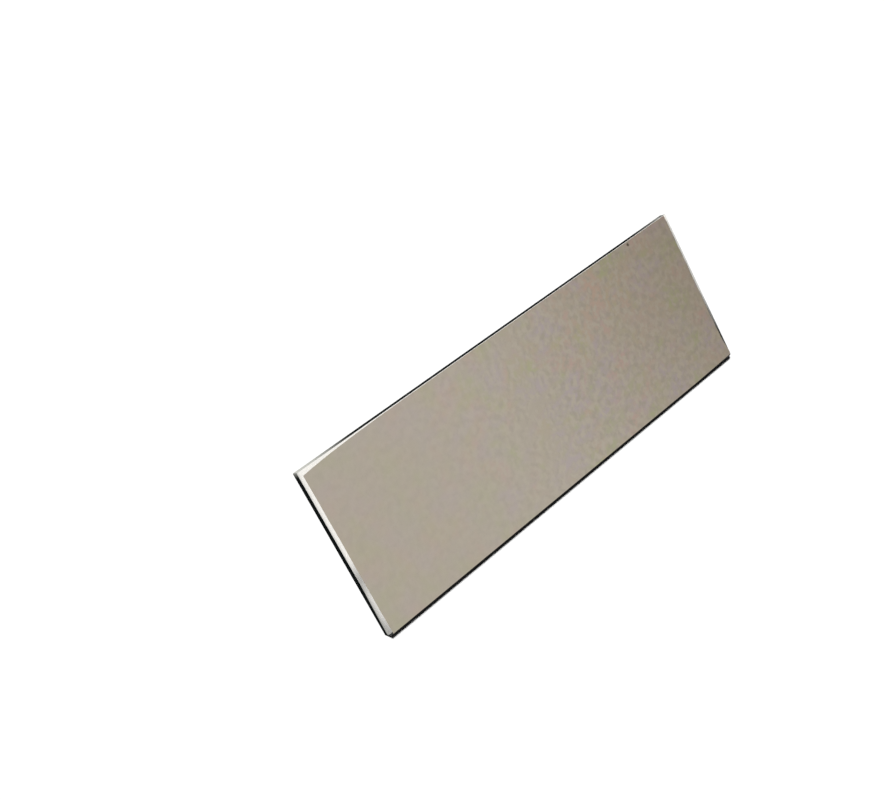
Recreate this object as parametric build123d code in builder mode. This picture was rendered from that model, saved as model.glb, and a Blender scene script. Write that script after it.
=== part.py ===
from build123d import *
import os

# Microscope slide: one strip cut from flat sheet glass.  Its four upright
# corners are eased by different amounts, and a narrow 45 degree arris takes
# the sharpness off every edge of both faces.
#
# All sizes are in millimetres.  The slide lies on its plain face.  The origin
# is the middle of that face, +X runs along the length, +Y across the width,
# and +Z points up, out of the metal coated face.

# Driving dimensions
slide_length = 75.0
slide_width = 25.0
slide_thickness = 1.1
front_left_radius = 0.25  # lightly rubbed
front_right_radius = 0.3  # lightly rubbed
back_left_radius = 0.15  # nearly as cut
back_right_radius = 0.15  # nearly as cut
arris_width = 0.04  # width of the bevel, measured on the face

# Which way each corner lies from the middle, and the radius that eases it
corners = [
    ((-1, -1), front_left_radius),
    ((1, -1), front_right_radius),
    ((-1, 1), back_left_radius),
    ((1, 1), back_right_radius),
]


# The plate, with its coated face up
with BuildPart() as glass_slide:
    with BuildSketch() as outline:
        Rectangle(slide_length, slide_width)
        for (side_x, side_y), radius in corners:
            cut_corner = (side_x * slide_length / 2, side_y * slide_width / 2)
            sharp_vertex = outline.vertices().sort_by_distance(cut_corner)[0]
            fillet(sharp_vertex, radius)
    extrude(amount=slide_thickness)
    flat_faces = glass_slide.faces().filter_by(Axis.Z)
    chamfer(flat_faces.edges(), arris_width)

glass_slide.part.label = "glass_slide"

os.makedirs("parts", exist_ok=True)
export_step(glass_slide.part, "parts/glass_slide.step")

size = glass_slide.part.bounding_box().size
print(f"glass_slide {size.X:.2f} x {size.Y:.2f} x {size.Z:.2f} mm")
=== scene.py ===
from math import cos, pi, radians, sin

import bpy
import numpy as np
from mathutils import Matrix, Vector


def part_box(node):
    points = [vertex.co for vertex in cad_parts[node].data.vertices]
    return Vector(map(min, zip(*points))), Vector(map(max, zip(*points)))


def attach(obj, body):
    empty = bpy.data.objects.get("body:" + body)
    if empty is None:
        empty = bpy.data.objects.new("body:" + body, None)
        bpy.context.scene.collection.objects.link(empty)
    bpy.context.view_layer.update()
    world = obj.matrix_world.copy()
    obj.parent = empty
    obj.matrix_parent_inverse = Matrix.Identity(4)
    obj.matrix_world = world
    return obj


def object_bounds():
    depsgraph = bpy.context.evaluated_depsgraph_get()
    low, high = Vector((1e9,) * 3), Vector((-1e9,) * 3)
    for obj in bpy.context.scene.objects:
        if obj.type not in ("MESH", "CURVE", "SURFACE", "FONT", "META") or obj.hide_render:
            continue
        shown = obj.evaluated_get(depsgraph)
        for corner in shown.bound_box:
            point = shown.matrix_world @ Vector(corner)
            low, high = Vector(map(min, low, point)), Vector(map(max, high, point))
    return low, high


# A metal coated microscope slide, lying on a pale floor with its coated face up.
# Metres throughout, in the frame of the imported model: +X runs along the slide,
# +Y across it, +Z up out of the coated face.

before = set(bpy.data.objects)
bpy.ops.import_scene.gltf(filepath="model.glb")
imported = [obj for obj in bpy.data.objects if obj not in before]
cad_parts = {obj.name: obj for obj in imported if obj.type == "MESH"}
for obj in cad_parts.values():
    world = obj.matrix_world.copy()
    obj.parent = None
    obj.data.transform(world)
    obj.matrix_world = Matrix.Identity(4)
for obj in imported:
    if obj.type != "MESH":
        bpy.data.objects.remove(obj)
cadLow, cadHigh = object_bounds()
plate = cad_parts["glass_slide"]
plateLow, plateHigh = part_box("glass_slide")
plateTop = plateHigh.z
print("frame loaded:", [round(side * 1000, 3) for side in cadHigh - cadLow], "mm")


class Wire:  # one shader socket, so that sums and products on it read as plain arithmetic
    def __init__(self, recipe, socket):
        self.recipe, self.socket = recipe, socket

    def reckon(self, operation, first, second=None):
        values = {0: first} if second is None else {0: first, 1: second}
        return self.recipe.node("ShaderNodeMath", {"operation": operation}, values)

    def __add__(self, other):
        return self.reckon("ADD", self, other)

    def __sub__(self, other):
        return self.reckon("SUBTRACT", self, other)

    def __rsub__(self, other):
        return self.reckon("SUBTRACT", other, self)

    def __mul__(self, other):
        return self.reckon("MULTIPLY", self, other)

    def __truediv__(self, other):
        return self.reckon("DIVIDE", self, other)

    def __abs__(self):
        return self.reckon("ABSOLUTE", self)

    def __lt__(self, other):
        return self.reckon("LESS_THAN", self, other)

    def __or__(self, other):  # the larger of two masks
        return self.reckon("MAXIMUM", self, other)

    __radd__ = __add__
    __rmul__ = __mul__


class Recipe:  # the node tree of one material or of the world
    def __init__(self, owner, output):
        owner.use_nodes = True
        self.tree = owner.node_tree
        self.tree.nodes.clear()
        self.end = self.tree.nodes.new(output)

    def node(self, kind, settings=None, sockets=None, out=0):
        made = self.tree.nodes.new(kind)
        for key, value in (settings or {}).items():
            if key == "stops":
                self.setStops(made.color_ramp, value)
            else:
                setattr(made, key, value)
        for key, value in (sockets or {}).items():
            if isinstance(value, Wire):
                self.tree.links.new(value.socket, made.inputs[key])
            else:
                made.inputs[key].default_value = value
        return Wire(self, made.outputs[out])

    def setStops(self, ramp, stops):
        ramp.interpolation = "EASE"
        while len(ramp.elements) < len(stops):
            ramp.elements.new(1.0)
        for element, (place, colour) in zip(ramp.elements, stops):
            element.position, element.color = place, (*colour, 1.0)

    def place(self):  # where a point lies on the piece, whole and as its x, y and z
        spot = self.node("ShaderNodeTexCoord", out="Object")
        parts = [self.node("ShaderNodeSeparateXYZ", sockets={0: spot}, out=axis) for axis in "XYZ"]
        return spot, *parts

    def ray(self, kind):  # 1 for a ray of this kind, and 0 for any other
        return self.node("ShaderNodeLightPath", out=f"Is {kind} Ray")

    def noise(self, spot, grain, detail=2.0, stretch=(1.0, 1.0, 1.0)):
        # patches of the size of the grain, longer along an axis where the stretch is under 1
        scaled = self.node("ShaderNodeMapping", sockets={"Vector": spot, "Scale": stretch})
        sockets = {"Vector": scaled, "Scale": 1.0 / grain, "Detail": detail}
        return self.node("ShaderNodeTexNoise", sockets=sockets, out="Fac")

    def ease(self, value, start, end, low=0.0, high=1.0):  # low before start, high after end
        limits = {"From Min": start, "From Max": end, "To Min": low, "To Max": high}
        settings = {"interpolation_type": "SMOOTHSTEP"}
        return self.node("ShaderNodeMapRange", settings, {"Value": value, **limits})

    def distance(self, spot, place):  # from a place on the coated face
        sockets = {0: spot, 1: (*place, plateTop)}
        return self.node("ShaderNodeVectorMath", {"operation": "DISTANCE"}, sockets, out="Value")

    def mixColour(self, factor, first, second):  # 6, 7 and 2 are the colour sockets of a Mix node
        first, second = [c if isinstance(c, Wire) else (*c, 1.0) for c in (first, second)]
        sockets = {0: factor, 6: first, 7: second}
        return self.node("ShaderNodeMix", {"data_type": "RGBA"}, sockets, out=2)

    def mixShader(self, factor, first, second):
        return self.node("ShaderNodeMixShader", sockets={0: factor, 1: first, 2: second})

    def finish(self, shader):
        self.tree.links.new(shader.socket, self.end.inputs["Surface"])


def newMaterial(name):
    material = bpy.data.materials.new(name)
    return material, Recipe(material, "ShaderNodeOutputMaterial")


def facing(azimuth, elevation):
    # the way from the slide to whatever stands there: at azimuth 0 it is at -Y, at 90 at +X
    turn, rise = radians(azimuth), radians(elevation)
    return Vector((sin(turn) * cos(rise), -cos(turn) * cos(rise), sin(rise)))


cameraView = {
    "aim": (-0.01364, 0.00915),  # the point of the coated face in the middle of the view
    "distance": 0.1731,
    "azimuth": -114.07,
    "elevation": 56.66,
    "roll": 82.36,  # turned about the line of sight, so that the slide runs up to the right
    "lens": 52.16,
    "sensor": 36.0,
    "nearest": 0.01,
    "farthest": 20.0,
}


def makeCamera(view):
    back = facing(view["azimuth"], view["elevation"])
    level = (-back).to_track_quat("-Z", "Y").to_matrix().to_4x4()
    data = bpy.data.cameras.new("camera")
    data.lens, data.sensor_width = view["lens"], view["sensor"]
    data.clip_start, data.clip_end = view["nearest"], view["farthest"]
    camera = bpy.data.objects.new("camera", data)
    bpy.context.scene.collection.objects.link(camera)
    aim = Vector((*view["aim"], plateTop))
    stand = Matrix.Translation(aim + back * view["distance"])
    camera.matrix_world = stand @ level @ Matrix.Rotation(radians(view["roll"]), 4, "Z")
    bpy.context.scene.camera = camera


makeCamera(cameraView)
print("camera placed")


studio = {
    "keyAzimuth": 212.8,  # the lamp stands behind the slide's back edge, to the left
    "keyElevation": 43.8,
    "keyWidth": 8.0,  # how wide the lamp looks, in degrees
    "keyStrength": 4.77,
    "fill": 0.012,  # what the white room adds to every matt surface
    "floorGap": 0.00002,  # how far under the slide the floor lies
    "floorHalf": 3.0,
    "floorColour": (1.0, 1.0, 1.0),
}

room = {  # what polished faces see round them
    "walls": [  # sine of the elevation, and the colour there
        (0.00, (0.94, 0.94, 0.94)),
        (0.26, (0.90, 0.90, 0.89)),
        (0.46, (0.70, 0.69, 0.67)),
        (0.66, (1.00, 1.00, 1.00)),
    ],
    "patchWay": (0.789, -0.182, 0.587),  # the middle of a dark patch, as a direction
    "patchRim": 0.925,  # the cosine of its half angle
    "patchColour": (0.476, 0.423, 0.371),
}


def makeWorld(light, panels):
    world = bpy.data.worlds.new("whiteRoom")
    bpy.context.scene.world = world
    sky = Recipe(world, "ShaderNodeOutputWorld")
    way = sky.node("ShaderNodeTexCoord", out="Generated")
    height = sky.node("ShaderNodeSeparateXYZ", sockets={0: way}, out="Z")
    walls = sky.node("ShaderNodeValToRGB", {"stops": panels["walls"]}, {"Fac": height}, out="Color")
    turned = {0: way, 1: panels["patchWay"]}
    nearness = sky.node("ShaderNodeVectorMath", {"operation": "DOT_PRODUCT"}, turned, out="Value")
    depth = ((nearness - panels["patchRim"]) / (1 - panels["patchRim"])) | 0.0
    walls = sky.mixColour(depth * depth, walls, panels["patchColour"])
    white = sky.node("ShaderNodeBackground", sockets={"Color": (1.0, 1.0, 1.0, 1.0)})
    dim = sky.node("ShaderNodeBackground", sockets={"Color": (light["fill"],) * 3 + (1.0,)})
    mirrored = sky.node("ShaderNodeBackground", sockets={"Color": walls})
    seen = sky.mixShader(sky.ray("Camera") | sky.ray("Transmission"), dim, white)
    sky.finish(sky.mixShader(sky.ray("Glossy"), seen, mirrored))


def makeLamp(light):
    towards = facing(light["keyAzimuth"], light["keyElevation"])
    data = bpy.data.lights.new("keyLamp", "SUN")
    data.energy, data.angle = light["keyStrength"], radians(light["keyWidth"])
    lamp = bpy.data.objects.new("keyLamp", data)
    bpy.context.scene.collection.objects.link(lamp)
    lamp.matrix_world = towards.to_track_quat("Z", "Y").to_matrix().to_4x4()


def makeFloor(light):
    half, level = light["floorHalf"], cadLow.z - light["floorGap"]
    corners = [(x * half, y * half, level) for x, y in ((-1, -1), (1, -1), (1, 1), (-1, 1))]
    mesh = bpy.data.meshes.new("floor")
    mesh.from_pydata(corners, [], [(0, 1, 2, 3)])
    floor = bpy.data.objects.new("floor", mesh)
    bpy.context.scene.collection.objects.link(floor)
    material, paper = newMaterial("floorPaper")
    colour = (*light["floorColour"], 1.0)
    paper.finish(paper.node("ShaderNodeBsdfDiffuse", sockets={"Color": colour}))
    mesh.materials.append(material)


makeWorld(studio, room)
makeLamp(studio)
makeFloor(studio)
print("studio lit")


glass = {
    "index": 1.52,
    "roughness": 0.01,
    "tint": (0.935, 0.935, 0.930),
    "lampTint": (0.95, 0.94, 0.92),  # what the light that goes through to the floor takes on
    "skin": 0.000002,  # how near to a face still counts as the face
    "edgeDepth": 0.0001,  # how near to the outline still counts as that edge
    "backDepth": 0.0004,  # the back edge blends in from here
    "paintedShade": {  # painted shade: the bare glass at the left end is painted greyer near the front left corner, for the shade seen through it
        "colour": (0.37, 0.37, 0.365),
        "start": -0.0002,  # along Y
        "end": -0.0046,
        "thinPlace": -0.0080,  # further on the grey thins out and comes back: its middle along Y
        "thinInner": 0.0008,  # half the length of the thinnest part
        "thinOuter": 0.0050,  # half the length of all of it
        "thinByCut": 0.80,  # what is left of the grey there, at the cut edge
        "thinByFilm": 0.35,  # and beside the film
        "byCut": 0.00015,  # where these two are, from the left end
        "byFilm": 0.00050,
        "rim": 0.6,  # painted shade: all along the left end the glass is painted greyer towards its cut edge
        "rimStart": 0.00005,  # from the left end
        "rimWidth": 0.0004,
    },
    "paintedEdge": {  # painted shade: the cut edges are painted nearly black, for the shade seen into the clear glass under the film
        "dark": (0.003, 0.004, 0.004),
        "worn": (0.016, 0.018, 0.017),
        "pale": (0.40, 0.40, 0.37),
        "grain": 0.0004,  # of the worn spots, which are drawn out along the edges
        "detail": 3.0,
        "stretch": (0.15, 0.15, 1.0),
        "roughness": 0.35,
        "gloss": 0.0,
    },
    "backEdge": {  # its painted shade fades towards both ends into painted light
        "leftPaleEnd": 0.001,  # pale up to here, from the left end
        "leftDarkStart": 0.0100,  # and dark from here
        "rightDarkEnd": 0.0085,  # dark up to here, from the right end
        "rightPaleStart": 0.0005,  # and palest from here
        "rightPale": 0.5,
        "paleSpeckGrain": 0.0006,  # the painted light at the right is broken up by specks of this size
        "paleSpeckDetail": 1.0,
        "paleSpeckStretch": (1.0, 1.0, 0.25),
        "paleSpeckStart": 0.35,  # under this value of the noise it is darkest
        "paleSpeckEnd": 0.65,  # and over this it is palest
        "paleSpeckLeast": 0.45,  # how much of its paleness the darkest has
    },
    "leftEnd": {
        "wear": 0.3,  # how much of the worn colour it shows
        "cornerLength": 0.0008,  # round the back left corner it is painted paler, a painted light
        "cornerPale": 0.4,
        "wedgeStart": -0.0035,  # along Y: from here to the front a wedge along its top is painted paler, a painted light
        "wedgeDepth": 0.00036,  # how deep the wedge is at the corner
        "wedgeBlur": 0.00008,  # how soft its lower side is
        "wedgePale": 0.82,
        "tipDark": 0.0002,  # the rounded front corner itself keeps its painted shade, as far as this
        "tipFade": 0.0005,  # and the wedge has its full paleness from here on
    },
    "rightEnd": {  # it is painted pale towards the back and dark towards the front: painted light and painted shade
        "darkEnd": -0.0090,  # along Y
        "paleStart": -0.0010,
        "pale": (0.95, 0.95, 0.93),
    },
}


def paintedEdgeColour(slide, place, edges, finish):
    # painted shade, a worn-looking black, with the paler stretches of each edge laid over it as
    # painted light
    spot, x, y, z = place
    onBack, onLeft, onRight = edges
    paintedEdge, back = finish["paintedEdge"], finish["backEdge"]
    left, right = finish["leftEnd"], finish["rightEnd"]
    grit = slide.noise(spot, paintedEdge["grain"], paintedEdge["detail"], paintedEdge["stretch"])
    worn = grit * (1.0 - onLeft * (1.0 - left["wear"]))
    colour = slide.mixColour(worn, paintedEdge["dark"], paintedEdge["worn"])

    # painted light: the back edge is painted paler towards both ends, in specks at the right
    paleEnd, darkStart = [plateLow.x + back[key] for key in ("leftPaleEnd", "leftDarkStart")]
    darkEnd, paleStart = [plateHigh.x - back[key] for key in ("rightDarkEnd", "rightPaleStart")]
    towardsLeft = 1.0 - slide.ease(x, paleEnd, darkStart)
    towardsRight = slide.ease(x, darkEnd, paleStart)
    paleSpecks = slide.noise(spot, back["paleSpeckGrain"], back["paleSpeckDetail"], back["paleSpeckStretch"])
    paleSpecks = slide.ease(paleSpecks, back["paleSpeckStart"], back["paleSpeckEnd"], back["paleSpeckLeast"])
    towardsRight = towardsRight * paleSpecks * back["rightPale"]
    paleBack = (towardsLeft | towardsRight) * onBack * (1.0 - onLeft)
    cornerStart = plateHigh.y - left["cornerLength"]
    towardsCorner = slide.ease(y, cornerStart, plateHigh.y, 0.0, left["cornerPale"])
    colour = slide.mixColour(paleBack | (towardsCorner * onLeft), colour, paintedEdge["pale"])

    # painted light towards the back of the right end
    towardsBack = slide.ease(y, right["darkEnd"], right["paleStart"])
    colour = slide.mixColour(towardsBack * onRight, colour, right["pale"])

    # painted light: a paler wedge along the top of the left end
    depth = slide.ease(y, plateLow.y, left["wedgeStart"], left["wedgeDepth"], 0.0)
    inWedge = slide.ease(z + depth, plateTop, plateTop + left["wedgeBlur"])
    pastTip = slide.ease(y, plateLow.y + left["tipDark"], plateLow.y + left["tipFade"])
    inWedge = inWedge * pastTip * onLeft * left["wedgePale"]
    return slide.mixColour(inWedge, colour, paintedEdge["pale"])


def paintedShadeAmount(slide, x, y, paintedShade):
    # painted shade: grey towards the front, thinner for a stretch, or the grey of the rim where
    # that is more
    byCut, byFilm = plateLow.x + paintedShade["byCut"], plateLow.x + paintedShade["byFilm"]
    thinnest = slide.ease(x, byCut, byFilm, paintedShade["thinByCut"], paintedShade["thinByFilm"])
    fromThin = abs(y - paintedShade["thinPlace"])
    thinned = slide.ease(fromThin, paintedShade["thinInner"], paintedShade["thinOuter"], thinnest, 1.0)
    rimStart = plateLow.x + paintedShade["rimStart"]
    rim = slide.ease(x, rimStart, rimStart + paintedShade["rimWidth"], paintedShade["rim"], 0.0)
    return (slide.ease(y, paintedShade["end"], paintedShade["start"], 1.0, 0.0) * thinned) | rim


def makeGlass(finish):
    material, slide = newMaterial("slideGlass")
    place = slide.place()
    x, y, z = place[1:]
    middle = (plateLow.z + plateTop) / 2
    between = abs(z - middle) < plateTop - middle - finish["skin"]  # all between the two faces
    backStart, backWhole = plateHigh.y - finish["backDepth"], plateHigh.y - finish["edgeDepth"]
    onBack = slide.ease(y, backStart, backWhole)
    onLeft = x < plateLow.x + finish["edgeDepth"]
    onRight = 1.0 - (x < plateHigh.x - finish["edgeDepth"])

    # the cut edges show painted shade and painted light as their colour
    cut = slide.node("ShaderNodeBsdfPrincipled", sockets={
        "Base Color": paintedEdgeColour(slide, place, (onBack, onLeft, onRight), finish),
        "Roughness": finish["paintedEdge"]["roughness"],
        "IOR": finish["index"],
        "Specular IOR Level": finish["paintedEdge"]["gloss"],
    })
    # the bare glass takes painted shade as a grey in its colour
    paintedShade = paintedShadeAmount(slide, x, y, finish["paintedShade"])
    clear = slide.node("ShaderNodeBsdfPrincipled", sockets={
        "Base Color": slide.mixColour(paintedShade, finish["tint"], finish["paintedShade"]["colour"]),
        "Roughness": finish["roughness"],
        "IOR": finish["index"],
        "Transmission Weight": 1.0,
    })
    lampRay = slide.ray("Shadow") | slide.ray("Diffuse")  # this light goes through unbent
    lampTint = {"Color": (*finish["lampTint"], 1.0)}
    forLamps = slide.node("ShaderNodeBsdfTransparent", sockets=lampTint)
    clear = slide.mixShader(lampRay, clear, forLamps)
    passing = (onBack | onLeft) * lampRay  # the edges that face the lamp let its light in
    slide.finish(slide.mixShader(between * (1.0 - passing), clear, cut))
    return material


plate.data.materials.clear()
plate.data.materials.append(makeGlass(glass))
print("glass finished")


film = {
    "lift": 0.000012,  # how far its face stands over the glass
    "thickness": 0.000006,
    "leftBare": 0.00061,  # bare glass between the arris and the film, along the left end
    "leftWander": 0.000025,  # how far that line strays
    "leftWaves": [(57, 0.6), (146, 0)],  # in waves to the metre, each with its start in radians
    "backBare": 0.00076,  # the same along the back edge, at the left end
    "backFade": 0.0060,  # the length over which that strip shrinks to about a third
    "backLeast": 0.000048,  # what is left of it further on
    "backWander": 0.000010,
    "backWaves": [(70, 1.0), (230, 0.2), (610, 2.0)],
    "frontBare": 0.00014,  # the same along the front edge, at the right end
    "frontStart": 0.0290,  # where along X that strip starts
    "rightBare": 0.00040,  # the same along the right end
    "rightStart": -0.0090,  # where along Y that strip starts to shrink
    "rightEnd": -0.0120,  # and where it ends
    "rightWander": 0.15,  # how much of its width that strip strays
    "rightWaves": [(160, 0), (390, 1)],
    "columns": 220,
    "rows": 72,
    "topSkin": 0.000001,  # how near to the plate's top still counts as its flat face
    "weldDecimals": 8,  # two of the plate's points that agree this far are one
    "finish": {
        "colour": (0.411, 0.369, 0.305),
        "warm": (0.408, 0.361, 0.287),  # the film is browner towards the right end
        "warmStart": -0.010,  # along X
        "warmEnd": 0.030,
        "blush": (0.462, 0.355, 0.279),  # a faint pink bloom right of the middle
        "blushPlace": (0.0155, 0.0070),
        "blushInner": 0.003,  # whole as far from its middle as this
        "blushOuter": 0.017,  # and gone from here on
        "patches": [  # a tint, the size of its patches, and how they are stretched
            ((0.430, 0.358, 0.296), 0.0130, (1.0, 1.0, 1.0)),
            ((0.398, 0.374, 0.286), 0.0110, (1.0, 1.0, 1.0)),
            ((0.464, 0.346, 0.300), 0.0052, (1.0, 1.0, 1.0)),
            ((0.383, 0.384, 0.242), 0.0044, (1.2, 0.9, 1.0)),
            ((0.413, 0.359, 0.354), 0.0036, (0.8, 1.3, 1.0)),
            ((0.3745, 0.336, 0.278), 0.0011, (1.0, 1.0, 1.0)),
            ((0.442, 0.397, 0.3265), 0.0010, (1.1, 0.9, 1.0)),
        ],
        "patchDetail": 3.0,
        "patchStart": 0.42,  # the value of the noise at which a patch starts
        "patchWhole": 0.68,  # and at which it has its full tint
        "calm": 0.35,  # how strong the patches are towards the left end
        "calmEnd": -0.024,  # along X
        "lively": 1.0,  # and how strong from about the middle on
        "livelyStart": 0.010,
        "roughness": 0.10,
        "wipeRoughness": 0.03,  # what faint wiping marks along the slide add to it
        "wipeGrain": 0.0012,
        "wipeDetail": 4.0,
        "wipeStretch": (0.12, 1.0, 1.0),
        "speckPlace": (0.02795, 0.01192),
        "speckSize": 0.00030,
        "speckJags": 0.6,  # the size of its jags, as a part of its own
        "speckFade": 1.5,  # it is gone at this many times its size
        "speckColour": (0.125, 0.105, 0.080),
    },
}


def readFlat(shape):
    # the front and the back edge of the plate's flat top, each as points in the order of x
    points = np.empty(len(plate.data.vertices) * 3, np.float32)
    plate.data.vertices.foreach_get("co", points)
    points = np.round(points.reshape(-1, 3).astype(float), shape["weldDecimals"])
    flat = np.unique(points[points[:, 2] > plateTop - shape["topSkin"]][:, :2], axis=0)
    return flat[flat[:, 1] < 0], flat[flat[:, 1] > 0]


def spread(count):
    # from 0 to 1, crowded towards both ends: half of 1 less the cosine of a half turn
    return (1 - np.cos(np.linspace(0, pi, count))) / 2


def strayed(place, waves):
    # a line that strays between -1 and 1: the mean of one sine of the place for each wave
    return sum(np.sin(place * 2 * pi * wave + start) for wave, start in waves) / len(waves)


def filmPoints(shape):
    # The film covers the flat top inside the arrises, apart from a bare strip along the left,
    # back and right edges and at the right end of the front one. In each direction a point
    # lies at its share of the way from one edge of the film to the other.
    front, back = readFlat(shape)
    along, across = np.meshgrid(spread(shape["columns"]), spread(shape["rows"]), indexing="ij")
    level = plateLow.y + (plateHigh.y - plateLow.y) * across
    strayLeft = shape["leftWander"] * strayed(level, shape["leftWaves"])
    left = front[0, 0] + shape["leftBare"] + strayLeft
    taper = (level - shape["rightEnd"]) / (shape["rightStart"] - shape["rightEnd"])
    rightBare = shape["rightBare"] * np.clip(taper, 0, 1)
    strayRight = shape["rightWander"] * strayed(level, shape["rightWaves"])
    right = front[-1, 0] - rightBare * (1 + strayRight)
    x = left + (right - left) * along
    bareBack = shape["backBare"] * np.exp((plateLow.x - x) / shape["backFade"])
    bareBack += shape["backLeast"] + shape["backWander"] * strayed(x, shape["backWaves"])
    taper = (x - shape["frontStart"]) / (plateHigh.x - shape["frontStart"])
    bareFront = shape["frontBare"] * np.clip(taper, 0, 1)
    nearY = np.interp(x, front[:, 0], front[:, 1]) + bareFront
    farY = np.interp(x, back[:, 0], back[:, 1]) - bareBack
    y = nearY + (farY - nearY) * across
    return np.stack([x, y, np.full_like(x, plateTop + shape["lift"])], axis=-1)


def gridMesh(name, points):
    # a sheet from a grid of points, with its faces upwards
    number = np.arange(points[..., 0].size).reshape(points.shape[:2])
    corners = [number[:-1, :-1], number[1:, :-1], number[1:, 1:], number[:-1, 1:]]
    faces = np.stack(corners, axis=-1).reshape(-1, 4)
    mesh = bpy.data.meshes.new(name)
    mesh.from_pydata(points.reshape(-1, 3).tolist(), [], faces.tolist())
    mesh.update()
    return mesh


def makeFilmMetal(finish):
    material, metal = newMaterial("filmMetal")
    spot, x = metal.place()[:2]
    ends = finish["calmEnd"], finish["livelyStart"], finish["calm"], finish["lively"]
    strength = metal.ease(x, *ends)
    warmth = metal.ease(x, finish["warmStart"], finish["warmEnd"])
    colour = metal.mixColour(warmth, finish["colour"], finish["warm"])
    fromBlush = metal.distance(spot, finish["blushPlace"])
    bloom = metal.ease(fromBlush, finish["blushInner"], finish["blushOuter"], 1.0, 0.0)
    colour = metal.mixColour(bloom, colour, finish["blush"])
    for tint, grain, stretch in finish["patches"]:
        patch = metal.noise(spot, grain, finish["patchDetail"], stretch)
        patch = metal.ease(patch, finish["patchStart"], finish["patchWhole"])
        colour = metal.mixColour(patch * strength, colour, tint)
    size = finish["speckSize"]
    jags = metal.noise(spot, size * finish["speckJags"]) * size
    fromSpeck = metal.distance(spot, finish["speckPlace"]) + jags
    speck = 1.0 - metal.ease(fromSpeck, size, size * finish["speckFade"])
    wipes = metal.noise(spot, finish["wipeGrain"], finish["wipeDetail"], finish["wipeStretch"])
    metal.finish(metal.node("ShaderNodeBsdfPrincipled", sockets={
        "Base Color": metal.mixColour(speck, colour, finish["speckColour"]),
        "Metallic": 1.0,
        "Roughness": finish["roughness"] + wipes * finish["wipeRoughness"],
    }))
    return material


def makeFilm(shape):
    piece = bpy.data.objects.new("metal_film", gridMesh("metal_film", filmPoints(shape)))
    bpy.context.scene.collection.objects.link(piece)
    skin = piece.modifiers.new("filmThickness", "SOLIDIFY")
    skin.thickness, skin.offset = shape["thickness"], -1.0  # all of it under its face
    piece.data.materials.append(makeFilmMetal(shape["finish"]))
    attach(piece, "root")


makeFilm(film)
print("film laid")


bpy.context.scene.view_settings.view_transform = "Standard"
